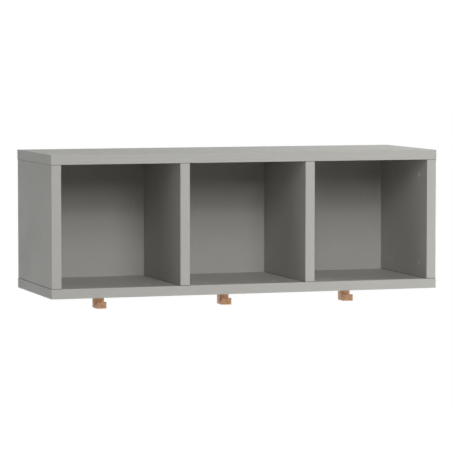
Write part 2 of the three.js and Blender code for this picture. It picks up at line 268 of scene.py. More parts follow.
def new_effect(name, inputs, outputs):
    """An empty node group with named inputs and outputs."""
    tree = bpy.data.node_groups.new(name, "ShaderNodeTree")
    for label, kind, value in inputs:
        socket = tree.interface.new_socket(label, in_out="INPUT", socket_type=kind)
        if value is not None:
            socket.default_value = value
    for label, kind in outputs:
        tree.interface.new_socket(label, in_out="OUTPUT", socket_type=kind)
    return tree, add(tree, "NodeGroupInput").outputs, add(tree, "NodeGroupOutput").inputs


def tinted(tree, colour, mask, share, tint):
    """A colour taken towards a tint by a share of a mask."""
    return blend(tree, reckon(tree, "MULTIPLY", mask, share), colour, tint)


def spaced(values):
    """Values under their inputs' names, where a space was written as _."""
    return {label.replace("_", " "): value for label, value in values.items()}


def place(tree, effect, **inputs):
    """An effect placed in a material with its own values."""
    return add(tree, "ShaderNodeGroup", spaced(inputs), node_tree=effect).outputs


def join(tree, inputs, **sockets):
    """Joins sockets to the inputs of a shader or the results of an effect."""
    for label, socket in spaced(sockets).items():
        tree.links.new(socket, inputs[label])


FLOAT = "NodeSocketFloat"
COLOUR = "NodeSocketColor"
VECTOR = "NodeSocketVector"


# Effects that several finishes use

# Timber: how its rings slant and sway, how sharply late wood starts and where pores open
RING_SLANT = 0.45
RING_SWAY = 12 * MM
LATE_WOOD_POWER = 1.8
PORE_LIMIT = 0.70
PORE_LIMIT_DROP = 0.09
PORE_EDGE = 0.05


def tone_drift():
    """A colour that drifts lighter and darker over the surface, in wide clouds and fine specks."""
    tree, given, result = new_effect(
        "tone drift",
        [("Place", VECTOR, None), ("Colour", COLOUR, None), ("Cloud Scale", FLOAT, 5.0),
         ("Cloud Amount", FLOAT, 0.02), ("Speck Scale", FLOAT, 1500.0),
         ("Speck Amount", FLOAT, 0.02)],
        [("Colour", COLOUR)])
    cloud = noise(tree, given["Place"], given["Cloud Scale"], detail=3.0)
    speck = noise(tree, given["Place"], given["Speck Scale"], detail=1.0)
    wide = reckon(tree, "MULTIPLY_ADD", cloud, 2.0, -1.0)
    fine = reckon(tree, "MULTIPLY_ADD", speck, 2.0, -1.0)
    lift = reckon(tree, "MULTIPLY_ADD", wide, given["Cloud Amount"], 1.0)
    lift = reckon(tree, "MULTIPLY_ADD", fine, given["Speck Amount"], lift)
    join(tree, result, Colour=scaled(tree, given["Colour"], lift))
    return tree


def edge_wear():
    """A mask that is 1 on the corners of a piece where hands and cloths rub, broken by noise."""
    tree, given, result = new_effect(
        "edge wear",
        [("Place", VECTOR, None), ("Reach", FLOAT, 1 * MM), ("Patch Scale", FLOAT, 60.0)],
        [("Wear", FLOAT)])
    rounded = add(tree, "ShaderNodeBevel", {"Radius": given["Reach"]}, samples=4)
    surface = add(tree, "ShaderNodeNewGeometry")
    inputs = (rounded.outputs[0], surface.outputs["Normal"])
    alike = add(tree, "ShaderNodeVectorMath", inputs, operation="DOT_PRODUCT").outputs["Value"]
    corner = remap(tree, alike, (0.995, 0.8))
    patches = noise(tree, given["Place"], given["Patch Scale"], detail=4.0, roughness=0.65)
    worn = remap(tree, patches, (0.42, 0.62), (0.15, 1.0))
    join(tree, result, Wear=reckon(tree, "MULTIPLY", corner, worn))
    return tree


def painted_seam_shadow_effect():
    """A mask that is 1 close to either end of an upright, where the shade in its seams is painted on
    as dark lines.
    """
    tree, given, result = new_effect(
        "painted seam shadow",
        [("Place", VECTOR, None), ("Lower End", FLOAT, 0.0), ("Lower Reach", FLOAT, 1 * MM),
         ("Upper End", FLOAT, 0.0), ("Upper Reach", FLOAT, 1 * MM)],
        [("Shade", FLOAT)])
    height = add(tree, "ShaderNodeSeparateXYZ", (given["Place"],)).outputs[2]
    reaches = []
    for end in ("Lower", "Upper"):
        away = reckon(tree, "ABSOLUTE", reckon(tree, "SUBTRACT", height, given[end + " End"]))
        reaches.append(reckon(tree, "DIVIDE", away, given[end + " Reach"]))
    nearest = reckon(tree, "MINIMUM", *reaches)
    join(tree, result, Shade=remap(tree, nearest, (0.8, 1.2), (1.0, 0.0)))
    return tree


def fine_texture():
    """The small unevenness of a moulded, pressed or cast surface, as a height and a shine mask."""
    tree, given, result = new_effect(
        "fine texture",
        [("Place", VECTOR, None), ("Scale", FLOAT, 2000.0)],
        [("Height", FLOAT), ("Shine", FLOAT)])
    grain = noise(tree, given["Place"], given["Scale"], detail=3.0, roughness=0.6)
    smears = noise(tree, given["Place"], scale=14.0, detail=4.0, roughness=0.6, distortion=0.6)
    join(tree, result, Height=grain, Shine=remap(tree, smears, (0.3, 0.7)))
    return tree


def timber():
    """Wood with its grain along Z: growth rings, fibres and pores."""
    tree, given, result = new_effect(
        "timber",
        [("Place", VECTOR, None), ("Early Wood", COLOUR, None), ("Late Wood", COLOUR, None),
         ("Pores", COLOUR, None), ("Ring Width", FLOAT, 2.2 * MM), ("Pore Amount", FLOAT, 1.0)],
        [("Colour", COLOUR), ("Height", FLOAT), ("Fibre", FLOAT)])
    spot = given["Place"]
    sway = noise(tree, stretched(tree, spot, (1.0, 1.0, 0.35)), scale=42.0, detail=2.0)
    axes = add(tree, "ShaderNodeSeparateXYZ", (spot,)).outputs
    across = reckon(tree, "MULTIPLY_ADD", axes[1], RING_SLANT, axes[0])
    across = reckon(tree, "MULTIPLY_ADD", sway, RING_SWAY, across)
    turn = reckon(tree, "FRACT", reckon(tree, "DIVIDE", across, given["Ring Width"]))
    late = reckon(tree, "POWER", remap(tree, turn, (0.25, 0.95)), LATE_WOOD_POWER)
    fibre = noise(tree, stretched(tree, spot, (1.0, 1.0, 0.03)), scale=2600.0, detail=3.0,
                  roughness=0.6)
    streak = noise(tree, stretched(tree, spot, (1.0, 1.0, 0.06)), scale=420.0, detail=2.0)
    early = reckon(tree, "SUBTRACT", 1.0, late)
    dots = noise(tree, stretched(tree, spot, (1.0, 1.0, 0.09)), scale=1500.0, detail=0.0)
    limit = reckon(tree, "MULTIPLY_ADD", early, -PORE_LIMIT_DROP, PORE_LIMIT)
    pore = remap(tree, reckon(tree, "SUBTRACT", dots, limit), (0.0, PORE_EDGE))
    pore = reckon(tree, "MULTIPLY", pore, given["Pore Amount"])
    shade = reckon(tree, "MULTIPLY_ADD", late, 0.55, reckon(tree, "MULTIPLY", streak, 0.55))
    colour = blend(tree, shade, given["Early Wood"], given["Late Wood"])
    colour = scaled(tree, colour, remap(tree, fibre, (0.3, 0.7), (0.9, 1.1)))
    colour = blend(tree, pore, colour, given["Pores"])
    height = reckon(tree, "MULTIPLY_ADD", pore, -1.0, reckon(tree, "MULTIPLY", fibre, 0.35))
    join(tree, result, Colour=colour, Height=height, Fibre=fibre)
    return tree


def plated():
    """Bare metal: a cloudy tone, drawn scratches and dull patches."""
    tree, given, result = new_effect(
        "plated metal",
        [("Place", VECTOR, None), ("Colour", COLOUR, None), ("Dull Colour", COLOUR, None),
         ("Smooth", FLOAT, 0.3), ("Dull", FLOAT, 0.5)],
        [("Colour", COLOUR), ("Roughness", FLOAT), ("Height", FLOAT)])
    spot = given["Place"]
    cloud = noise(tree, spot, scale=160.0, detail=5.0, roughness=0.65, distortion=0.4)
    patch = remap(tree, cloud, (0.38, 0.66))
    drawn = noise(tree, stretched(tree, spot, (1.0, 0.15, 1.0)), scale=3200.0, detail=2.0)
    scratch = remap(tree, drawn, (0.62, 0.72))
    colour = blend(tree, patch, given["Colour"], given["Dull Colour"])
    colour = tinted(tree, colour, scratch, share=0.35, tint=given["Dull Colour"])
    rough = add(tree, "ShaderNodeMix", (patch, None, given["Smooth"], given["Dull"])).outputs[0]
    rough = reckon(tree, "MULTIPLY_ADD", scratch, 0.08, rough)
    height = reckon(tree, "MULTIPLY_ADD", scratch, -0.5, drawn)
    join(tree, result, Colour=colour, Roughness=rough, Height=height)
    return tree


def printed_grain():
    """The grain printed on melamine, its axes scaled by Run, as a height and a tone near 1."""
    tree, given, result = new_effect(
        "printed grain",
        [("Place", VECTOR, None), ("Run", VECTOR, None)],
        [("Height", FLOAT), ("Tone", FLOAT)])
    along = stretched(tree, given["Place"], given["Run"])
    grain = noise(tree, along, scale=520.0, detail=3.0, roughness=0.6)
    join(tree, result, Height=grain, Tone=remap(tree, grain, (0.3, 0.7), (0.975, 1.025)))
    return tree


def edge_band():
    """Masks of a glued edge band: the hairline where it meets the face, and the band itself. Side
    is -1 where the band lies at the axis' lower end and 1 at its upper end."""
    tree, given, result = new_effect(
        "edge band",
        [("Along Axis", FLOAT, 0.0), ("Hairline At", FLOAT, 0.0), ("Side", FLOAT, 1.0)],
        [("Hairline", FLOAT), ("Band", FLOAT)])
    past = reckon(tree, "SUBTRACT", given["Along Axis"], given["Hairline At"])
    past = reckon(tree, "MULTIPLY", past, given["Side"])
    away = reckon(tree, "ABSOLUTE", past)
    hair = remap(tree, away, (BAND_LINE_DARK, BAND_LINE_GONE), (1.0, 0.0))
    join(tree, result, Hairline=hair, Band=remap(tree, past, (0.0, BAND_BLUR)))
    return tree


TONE_DRIFT = tone_drift()
EDGE_WEAR = edge_wear()
PAINTED_SEAM_SHADOW_EFFECT = painted_seam_shadow_effect()
FINE_TEXTURE = fine_texture()
TIMBER = timber()
PLATED = plated()
PRINTED_GRAIN = printed_grain()
EDGE_BAND = edge_band()


# Finishes

MELAMINE_GREY = linear(177, 176, 171)
MELAMINE_RUBBED = linear(205, 203, 196)
BAND_LINE = linear(112, 111, 106)
# The painted shadow in the seams at the uprights' ends
PAINTED_SEAM_SHADOW_COLOUR = linear(40, 38, 34)
CHIP_BROWN = linear(172, 134, 92)
CHIP_PALE = linear(214, 186, 143)
CHIP_BARK = linear(112, 80, 52)
CHIP_GAP = linear(96, 70, 46)
LACQUER_GREY = linear(185, 182, 178)
FIBRE_DARK = linear(108, 78, 52)
FIBRE_PALE = linear(166, 126, 88)
OAK_EARLY = linear(230, 185, 149)
OAK_LATE = linear(206, 158, 122)
OAK_PORES = linear(142, 97, 66)
OAK_RUBBED = linear(238, 198, 160)
BEECH_EARLY = linear(222, 188, 146)
BEECH_LATE = linear(196, 154, 110)
BEECH_FLECKS = linear(160, 116, 80)
CAM_BRIGHT = linear(191, 191, 189)
CAM_DULL = linear(171, 171, 169)
STEEL_BRIGHT = linear(172, 174, 175)
STEEL_DULL = linear(134, 137, 141)
METAL_RUBBED = linear(232, 232, 230)
CAP_PALE = linear(206, 205, 199)
CAP_RUBBED = linear(224, 223, 218)

# The core's chips: where their pattern starts, how they are drawn out and how far noise bends it
CHIP_PATTERN_SHIFT = (1.0, 1.0, 1.0)
CHIP_STRETCH = (0.55, 1.0, 1.3)
CHIP_WARP = 1 * MM


def new_finish(name, **shader_values):
    """A material with one Principled shader, and the place on the piece that patterns start from."""
    material = bpy.data.materials.new(name)
    tree = empty_tree(material)
    shader = add(tree, "ShaderNodeBsdfPrincipled", spaced(shader_values))
    add(tree, "ShaderNodeOutputMaterial", (shader.outputs[0],))
    spot = add(tree, "ShaderNodeTexCoord").outputs["Object"]
    return material, tree, shader.inputs, spot


def relief(tree, height, depth):
    """The normal of a surface with a small relief, as deep as depth where the height is 1."""
    inputs = {"Strength": 1.0, "Distance": depth, "Height": height}
    return add(tree, "ShaderNodeBump", inputs).outputs[0]


def polished(tree, rough, wear, gain):
    """A roughness that is lower where a corner is worn."""
    return reckon(tree, "MULTIPLY_ADD", wear, -gain, rough)


def edge_bands(tree, spot, name, sides):
    """Masks of all of a board's edge bands: their hairlines, and the bands."""
    low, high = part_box(name)
    axes = add(tree, "ShaderNodeSeparateXYZ", (spot,)).outputs
    line, band = 0.0, 0.0
    for axis, side in sides:
        edge = high[axis] - BAND_THICKNESS if side > 0 else low[axis] + BAND_THICKNESS
        masks = place(tree, EDGE_BAND, Along_Axis=axes[axis], Hairline_At=edge, Side=side)
        line = reckon(tree, "MAXIMUM", line, masks["Hairline"])
        band = reckon(tree, "MAXIMUM", band, masks["Band"])
    return line, band


def painted_seam_shadow(tree, spot):
    """Where the uprights end, all at the same heights: the shade in their seams is painted on dark.
    """
    low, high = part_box("divider_1")
    return place(tree, PAINTED_SEAM_SHADOW_EFFECT, Place=spot, Lower_End=low.z, Upper_End=high.z,
                 Lower_Reach=LOWER_PAINTED_SEAM_SHADOW, Upper_Reach=UPPER_PAINTED_SEAM_SHADOW)["Shade"]


def melamine(name, board, run, sides, is_upright):
    """Pale grey melamine with a faint printed grain along run, and edge bands on its sides."""
    material, tree, shader, spot = new_finish(name, Specular_IOR_Level=0.25)
    drift = place(tree, TONE_DRIFT, Place=spot, Colour=MELAMINE_GREY, Cloud_Scale=5.0,
                  Cloud_Amount=0.02, Speck_Scale=1300.0, Speck_Amount=0.03)
    grain = place(tree, PRINTED_GRAIN, Place=spot, Run=run)
    line, band = edge_bands(tree, spot, board, sides)
    # Painted light: the bands are made lighter to stand for the light that the front edges catch
    lift = remap(tree, band, (0.0, 1.0), (1.0, PAINTED_BAND_LIGHT))
    tone = reckon(tree, "MULTIPLY", lift, grain["Tone"])
    colour = scaled(tree, drift["Colour"], tone)
    colour = tinted(tree, colour, line, share=0.45, tint=BAND_LINE)
    wear = place(tree, EDGE_WEAR, Place=spot, Reach=1.2 * MM, Patch_Scale=45.0)["Wear"]
    colour = tinted(tree, colour, wear, share=0.28, tint=MELAMINE_RUBBED)
    # Painted shadow: the seams' shade darkens the melamine at an upright's ends
    if is_upright:
        colour = blend(tree, painted_seam_shadow(tree, spot), colour, PAINTED_SEAM_SHADOW_COLOUR)
    texture = place(tree, FINE_TEXTURE, Place=spot, Scale=2400.0)
    rough = remap(tree, texture["Shine"], (0.0, 1.0), (0.46, 0.56))
    height = reckon(tree, "MULTIPLY_ADD", grain["Height"], 0.8, texture["Height"])
    height = reckon(tree, "MULTIPLY_ADD", line, -1.5, height)
    join(tree, shader, Base_Color=colour, Roughness=polished(tree, rough, wear, gain=0.08),
         Normal=relief(tree, height, depth=0.02 * MM))
    return material


def chipboard():
    """The raw core of the boards: pressed chips with dark gaps, seen in bores and rear edges. At the
    uprights' ends the shade in the seams is painted on dark, so that the seams there are dark lines."""
    material, tree, shader, spot = new_finish("chipboard core")
    warp = scaled(tree, (CHIP_WARP, CHIP_WARP, CHIP_WARP), noise(tree, spot, scale=300.0))
    bent = moved(tree, moved(tree, spot, CHIP_PATTERN_SHIFT), warp)
    inputs = {"Vector": stretched(tree, bent, CHIP_STRETCH), "Scale": 560.0}
    cells = add(tree, "ShaderNodeTexVoronoi", inputs).outputs
    chip = add(tree, "ShaderNodeSeparateColor", (cells["Color"],)).outputs
    gaps = add(tree, "ShaderNodeTexVoronoi", inputs, feature="DISTANCE_TO_EDGE").outputs
    gap = remap(tree, gaps["Distance"], (0.0, 0.07), (1.0, 0.0))
    colour = blend(tree, chip[0], CHIP_BROWN, CHIP_PALE)
    dark = remap(tree, chip[1], (0.86, 0.9), (0.0, 0.6))
    colour = blend(tree, dark, colour, CHIP_BARK)
    colour = tinted(tree, colour, gap, share=0.55, tint=CHIP_GAP)
    drift = place(tree, TONE_DRIFT, Place=spot, Colour=colour, Cloud_Scale=30.0,
                  Cloud_Amount=0.12, Speck_Scale=2600.0, Speck_Amount=0.15)
    # Painted shadow: the seams' shade darkens the core at the uprights' ends
    colour = blend(tree, painted_seam_shadow(tree, spot), drift["Colour"], PAINTED_SEAM_SHADOW_COLOUR)
    rough = remap(tree, chip[2], (0.0, 1.0), (0.82, 0.95))
    height = reckon(tree, "MULTIPLY_ADD", gap, -0.8, chip[2])
    join(tree, shader, Base_Color=colour, Roughness=rough,
         Normal=relief(tree, height, depth=0.12 * MM))
    return material


def back_lacquer():
    """The back panel's front: a warm grey lacquer over hardboard, with faint roller marks."""
    material, tree, shader, spot = new_finish("back panel lacquer", Specular_IOR_Level=0.2)
    drift = place(tree, TONE_DRIFT, Place=spot, Colour=LACQUER_GREY, Cloud_Scale=3.5,
                  Cloud_Amount=0.03, Speck_Scale=900.0, Speck_Amount=0.03)
    roller = noise(tree, stretched(tree, spot, (1.0, 1.0, 0.04)), scale=260.0, detail=2.0)
    colour = scaled(tree, drift["Colour"], remap(tree, roller, (0.3, 0.7), (0.98, 1.02)))
    texture = place(tree, FINE_TEXTURE, Place=spot, Scale=1600.0)
    rough = remap(tree, texture["Shine"], (0.0, 1.0), (0.55, 0.66))
    height = reckon(tree, "ADD", roller, texture["Height"])
    join(tree, shader, Base_Color=colour, Roughness=rough,
         Normal=relief(tree, height, depth=0.02 * MM))
    return material


def hardboard():
    """The back panel's rear and edges: bare brown pressed fibre."""
    material, tree, shader, spot = new_finish("bare hardboard")
    fibre = noise(tree, spot, scale=300.0, detail=8.0, roughness=0.75, distortion=1.2)
    colour = blend(tree, remap(tree, fibre, (0.35, 0.65)), FIBRE_DARK, FIBRE_PALE)
    drift = place(tree, TONE_DRIFT, Place=spot, Colour=colour, Cloud_Scale=14.0,
                  Cloud_Amount=0.25, Speck_Scale=2400.0, Speck_Amount=0.12)
    rough = remap(tree, fibre, (0.3, 0.7), (0.62, 0.8))
    join(tree, shader, Base_Color=drift["Colour"], Roughness=rough,
         Normal=relief(tree, fibre, depth=0.05 * MM))
    return material


def oiled_oak(name, tone):
    """A hook's oiled oak, its grain upright, with open pores and edges rubbed lighter. Its tone
    lightens the wood as painted light, making up for the shade that each hook hangs in."""
    material, tree, shader, spot = new_finish(name, Specular_IOR_Level=0.09)
    # The tone is painted light: it lightens this hook's wood for the shade it hangs in
    wood = place(tree, TIMBER, Place=spot, Early_Wood=toned(OAK_EARLY, tone),
                 Late_Wood=toned(OAK_LATE, tone), Pores=OAK_PORES, Ring_Width=2.6 * MM,
                 Pore_Amount=0.85)
    drift = place(tree, TONE_DRIFT, Place=spot, Colour=wood["Colour"], Cloud_Scale=110.0,
                  Cloud_Amount=0.09, Speck_Scale=1800.0, Speck_Amount=0.05)
    wear = place(tree, EDGE_WEAR, Place=spot, Reach=1.4 * MM, Patch_Scale=160.0)["Wear"]
    colour = tinted(tree, drift["Colour"], wear, share=0.12, tint=OAK_RUBBED)
    rough = remap(tree, wood["Fibre"], (0.3, 0.7), (0.5, 0.64))
    join(tree, shader, Base_Color=colour, Roughness=polished(tree, rough, wear, gain=0.12),
         Normal=relief(tree, wood["Height"], depth=0.12 * MM))
    return material


def beech():
    """The dowels: plain beech with short flecks."""
    material, tree, shader, spot = new_finish("beech")
    wood = place(tree, TIMBER, Place=spot, Early_Wood=BEECH_EARLY, Late_Wood=BEECH_LATE,
                 Pores=BEECH_FLECKS, Ring_Width=3.4 * MM, Pore_Amount=0.4)
    drift = place(tree, TONE_DRIFT, Place=spot, Colour=wood["Colour"], Cloud_Scale=60.0,
                  Cloud_Amount=0.06, Speck_Scale=2400.0, Speck_Amount=0.06)
    rough = remap(tree, wood["Fibre"], (0.3, 0.7), (0.7, 0.82))
    join(tree, shader, Base_Color=drift["Colour"], Roughness=rough,
         Normal=relief(tree, wood["Height"], depth=0.08 * MM))
    return material


def metal(name, bright, dull, smooth, rough, depth, bareness=1.0):
    """A metal finish with cloudy dulling, fine scratches and brighter corners. The bareness is
    below 1 where a film of oxide makes it matt."""
    material, tree, shader, spot = new_finish(name, Metallic=bareness)
    skin = place(tree, PLATED, Place=spot, Colour=bright, Dull_Colour=dull, Smooth=smooth,
                 Dull=rough)
    wear = place(tree, EDGE_WEAR, Place=spot, Reach=0.4 * MM, Patch_Scale=400.0)["Wear"]
    colour = tinted(tree, skin["Colour"], wear, share=0.5, tint=METAL_RUBBED)
    shine = polished(tree, skin["Roughness"], wear, gain=0.1)
    texture = place(tree, FINE_TEXTURE, Place=spot, Scale=3000.0)
    height = reckon(tree, "MULTIPLY_ADD", texture["Height"], 0.7, skin["Height"])
    join(tree, shader, Base_Color=colour, Roughness=shine, Normal=relief(tree, height, depth))
    return material


def cap_plastic():
    """The floor caps: pale moulded plastic with a fine spark texture and rubbed rims."""
    material, tree, shader, spot = new_finish("cap plastic")
    drift = place(tree, TONE_DRIFT, Place=spot, Colour=CAP_PALE, Cloud_Scale=120.0,
                  Cloud_Amount=0.03, Speck_Scale=2600.0, Speck_Amount=0.04)
    wear = place(tree, EDGE_WEAR, Place=spot, Reach=0.5 * MM, Patch_Scale=300.0)["Wear"]
    colour = tinted(tree, drift["Colour"], wear, share=0.4, tint=CAP_RUBBED)
    texture = place(tree, FINE_TEXTURE, Place=spot, Scale=3500.0)
    rough = remap(tree, texture["Shine"], (0.0, 1.0), (0.38, 0.5))
    join(tree, shader, Base_Color=colour, Roughness=rough,
         Normal=relief(tree, texture["Height"], depth=0.03 * MM))
    return material


# Mesh work


def new_object(name, data):
    """An object in the scene with a mesh, a lamp or a camera."""
    thing = bpy.data.objects.new(name, data)
    bpy.context.scene.collection.objects.link(thing)
    return thing


def object_of(name, shape):
    """An object in the scene whose mesh is a shape."""
    mesh = bpy.data.meshes.new(name)
    shape.to_mesh(mesh)
    shape.free()
    return new_object(name, mesh)


def as_piece(name, shape, material, stands_for):
    """A finished mesh as a piece that stands for its CAD node."""
    bmesh.ops.recalc_face_normals(shape, faces=shape.faces)
    piece = object_of(name, shape)
    piece.data.shade_smooth()
    piece.data.set_sharp_from_angle(angle=math.radians(SHARP_ANGLE))
    piece.data.materials.append(material)
    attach(piece, "root")
    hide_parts(stands_for)
    return piece


def carry(shape, x_axis, y_axis, z_axis, origin):
    """Turns and moves a shape so that its axes point along the given ones from origin."""
    turn = Matrix((x_axis, y_axis, z_axis)).transposed().to_4x4()
    bmesh.ops.transform(shape, matrix=Matrix.Translation(origin) @ turn, verts=shape.verts)


def around(centre, radius, angle):
    """The x and y of a point at a radius and an angle round a centre."""
    return centre[0] + radius * math.cos(angle), centre[1] + radius * math.sin(angle)


def circle(radius, height, sides, centre=(0, 0)):
    """Points round a circle."""
    places = [around(centre, radius, math.tau * i / sides) for i in range(sides)]
    return [Vector((x, y, height)) for x, y in places]


def join_rings(shape, lower, upper):
    """A strip of faces between two rings of points."""
    count = len(lower)
    for i in range(count):
        j = (i + 1) % count
        shape.faces.new((lower[i], lower[j], upper[j], upper[i]))


def stack(shape, rings):
    """Rings of points joined one to the next; gives their first and last ring."""
    rows = [[shape.verts.new(point) for point in ring] for ring in rings]
    for lower, upper in zip(rows, rows[1:]):
        join_rings(shape, lower, upper)
    return rows[0], rows[-1]


def add_solid(shape, rings):
    """A closed body from rings of points, with a flat face on each end."""
    first, last = stack(shape, rings)
    shape.faces.new(first)
    shape.faces.new(last)


def solid_of_rings(rings):
    """A shape of one closed body."""
    shape = bmesh.new()
    add_solid(shape, rings)
    return shape


def fill_between(shape, loops):
    """Flat faces inside the first loop of points and outside the others."""
    edges = []
    for loop in loops:
        for i, vertex in enumerate(loop):
            following = loop[(i + 1) % len(loop)]
            edge = shape.edges.get((vertex, following))
            edges.append(edge or shape.edges.new((vertex, following)))
    bmesh.ops.triangle_fill(shape, use_beauty=True, edges=edges)


def cross_outline(length, width, height):
    """The outline of a cross recess."""
    long, short = length / 2, width / 2
    corners = [(long, short), (short, short), (short, long)]
    points = []
    for quarter in range(4):
        turn = Matrix.Rotation(quarter * math.pi / 2, 2)
        points += [turn @ Vector(corner) for corner in corners]
    return [Vector((point.x, point.y, height)) for point in points]


def cross_recess(shape, rim, length, width, depth, height):
    """Closes the top of a body inside its rim with a face that has a tapered cross recess."""
    mouth = [shape.verts.new(point) for point in cross_outline(length, width, height)]
    fill_between(shape, [rim, mouth])
    floor_length = length * CROSS_FLOOR_LENGTH
    floor_points = cross_outline(floor_length, width * CROSS_FLOOR_WIDTH, height - depth)
    bottom = [shape.verts.new(point) for point in floor_points]
    join_rings(shape, mouth, bottom)
    shape.faces.new(bottom)


def thread_rings(root, crest, pitch, low, high, taper):
    """Rings of a screw thread between two heights, fading out over taper at each end."""
    count = max(2, round((high - low) / pitch * STEPS_PER_TURN))
    rings = []
    for i in range(count + 1):
        height = low + (high - low) * i / count
        fade = min(1, (height - low) / taper, (high - height) / taper)
        ring = []
        for point in circle(1, height, THREAD_SIDES):
            turn = (height / pitch - math.atan2(point.y, point.x) / math.tau) % 1
            ridge = max(0, 1 - abs(turn - 0.5) / HALF_RIDGE)
            radius = root + (crest - root) * ridge * max(0, fade)
            ring.append(Vector((point.x * radius, point.y * radius, height)))
        rings.append(ring)
    return rings


def modify(piece, name, kind, **settings):
    """A modifier with these settings."""
    modifier = piece.modifiers.new(name, kind)
    for label, value in settings.items():
        setattr(modifier, label, value)


def cut_out(piece, cutter):
    """Takes a shape out of a piece."""
    bmesh.ops.recalc_face_normals(cutter, faces=cutter.faces)
    tool = object_of("cutter", cutter)
    tool.hide_render = True
    modify(piece, "cut", "BOOLEAN", operation="DIFFERENCE", object=tool)
    graph = bpy.context.evaluated_depsgraph_get()
    result = bpy.data.meshes.new_from_object(piece.evaluated_get(graph))
    piece.modifiers.clear()
    piece.data = result
    result.set_sharp_from_angle(angle=math.radians(SHARP_ANGLE))
    bpy.data.objects.remove(tool)


def round_edges(piece, width, segments, degrees):
    """Rounds the edges of a piece that are sharper than an angle."""
    modify(piece, "rounded edges", "BEVEL", width=width, segments=segments,
           limit_method="ANGLE", angle_limit=math.radians(degrees), harden_normals=True,
           use_clamp_overlap=True)


# Boards


def sides_touched(point, low, high):
    """The sides of a box that a point lies on, as (axis, -1 or 1)."""
    sides = set()
    for axis in range(3):
        if abs(point[axis] - low[axis]) < TOUCHING:
            sides.add((axis, -1))
        if abs(point[axis] - high[axis]) < TOUCHING:
            sides.add((axis, 1))
    return sides


def dress_sheet(name, faces, core, bare_sides, eased_edge=EASED_EDGE):
    """Puts a finish on the outside of a CAD board, and its core in the cuts and on bare sides."""
    board = nodes[name]
    mesh = board.data
    low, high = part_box(name)
    touched = [sides_touched(vertex.co, low, high) for vertex in mesh.vertices]
    mesh.materials.clear()
    mesh.materials.append(faces)
    mesh.materials.append(core)
    for polygon in mesh.polygons:
        shared = set.intersection(*(touched[i] for i in polygon.vertices))
        polygon.material_index = 0 if shared - bare_sides else 1
    eased = mesh.attributes.new("bevel_weight_edge", "FLOAT", "EDGE")
    for edge in mesh.edges:
        first, second = edge.vertices
        eased.data[edge.index].value = float(len(touched[first] & touched[second]) >= 2)
    modify(board, "join corners", "WELD", merge_threshold=TOUCHING / 2)
    modify(board, "clean faces", "DECIMATE", decimate_type="DISSOLVE",
           angle_limit=math.radians(FLAT_ANGLE), delimit={"MATERIAL"})
    modify(board, "eased edges", "BEVEL", width=eased_edge, segments=EASED_EDGE_STEPS,
           limit_method="WEIGHT", harden_normals=True, use_clamp_overlap=False)


# How the printed grain is drawn out along a level board and along an upright
PRINT_ALONG_X = (0.015, 1.0, 1.0)
PRINT_ALONG_Z = (1.0, 1.0, 0.015)

# The sides of a board: the axis, and its lower or upper end
LEFT, RIGHT = (0, -1), (0, 1)
FRONT, REAR = (1, -1), (1, 1)
BELOW, ABOVE = (2, -1), (2, 1)


def dress_boards():
    """Level boards have bands on the front and both ends, uprights on the front only."""
    core = chipboard()
    for name in ("top_board", "bottom_board"):
        skin = melamine(f"melamine of {name}", name, PRINT_ALONG_X, [FRONT, LEFT, RIGHT],
                        is_upright=False)
        dress_sheet(name, skin, core, {REAR})
    for name in ("left_end_panel", "divider_1", "divider_2", "right_end_panel"):
        skin = melamine(f"melamine of {name}", name, PRINT_ALONG_Z, [FRONT], is_upright=True)
        dress_sheet(name, skin, core, {REAR, BELOW, ABOVE})


def dress_back_panel():
    """Lacquer on the front, and bare hardboard behind and round the edges."""
    bare = {REAR, LEFT, RIGHT, BELOW, ABOVE}
    dress_sheet("back_panel", back_lacquer(), hardboard(), bare, BACK_EASED_EDGE)


# Hooks


def arc(x, y, radius, start, sweep):
    """Places along an arc round x and y, from a start over a sweep in degrees."""
    angles = [math.radians(start + sweep * i / ARC_STEPS) for i in range(ARC_STEPS + 1)]
    return [around((x, y), radius, angle) for angle in angles]


def hook_outline(depth, drop):
    """The hook seen from its side, with its rear at 0, its front at -depth and its top at 0."""
    saddle = -drop + HOOK_ARM
    tip = saddle + HOOK_LIP_RISE
    lip_rear = -depth + HOOK_LIP
    inner = HOOK_SADDLE_RADIUS
    small = HOOK_TIP_RADIUS
    outer = HOOK_OUTER_RADIUS
    points = [(0, 0), (-HOOK_SHANK, 0)]
    points += arc(-HOOK_SHANK - inner, saddle + inner, inner, 0, -90)
    points += arc(lip_rear + inner, saddle + inner, inner, -90, -90)
    points += arc(lip_rear - small, tip - small, small, 0, 90)
    points += arc(-depth + small, tip - small, small, 90, 90)
    points += arc(-depth + outer, -drop + outer, outer, 180, 90)
    points += arc(-outer, -drop + outer, outer, 270, 90)
    return points


def oak_hook(name, material):
    """A J-shaped hook sawn from oak, with its arrises rounded and a bore for its screw."""
    low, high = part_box(name)
    outline = hook_outline(high.y - low.y, high.z - low.z)
    rings = []
    for x in (low.x, high.x):
        rings.append([Vector((x, high.y + y, high.z + z)) for y, z in outline])
    hook = as_piece(name + "_oak", solid_of_rings(rings), material, name)
    middle = ((low.x + high.x) / 2, high.y - HOOK_SHANK / 2)
    bore_floor = high.z - HOOK_BORE_DEPTH
    bore_mouth = high.z + HOOK_BORE_RADIUS
    bore = [circle(HOOK_BORE_RADIUS, z, THREAD_SIDES, middle) for z in (bore_floor, bore_mouth)]
    cut_out(hook, solid_of_rings(bore))
    round_edges(hook, HOOK_ARRIS, HOOK_ARRIS_STEPS, HOOK_ROUNDED_ANGLE)


# Cam locks and bolts


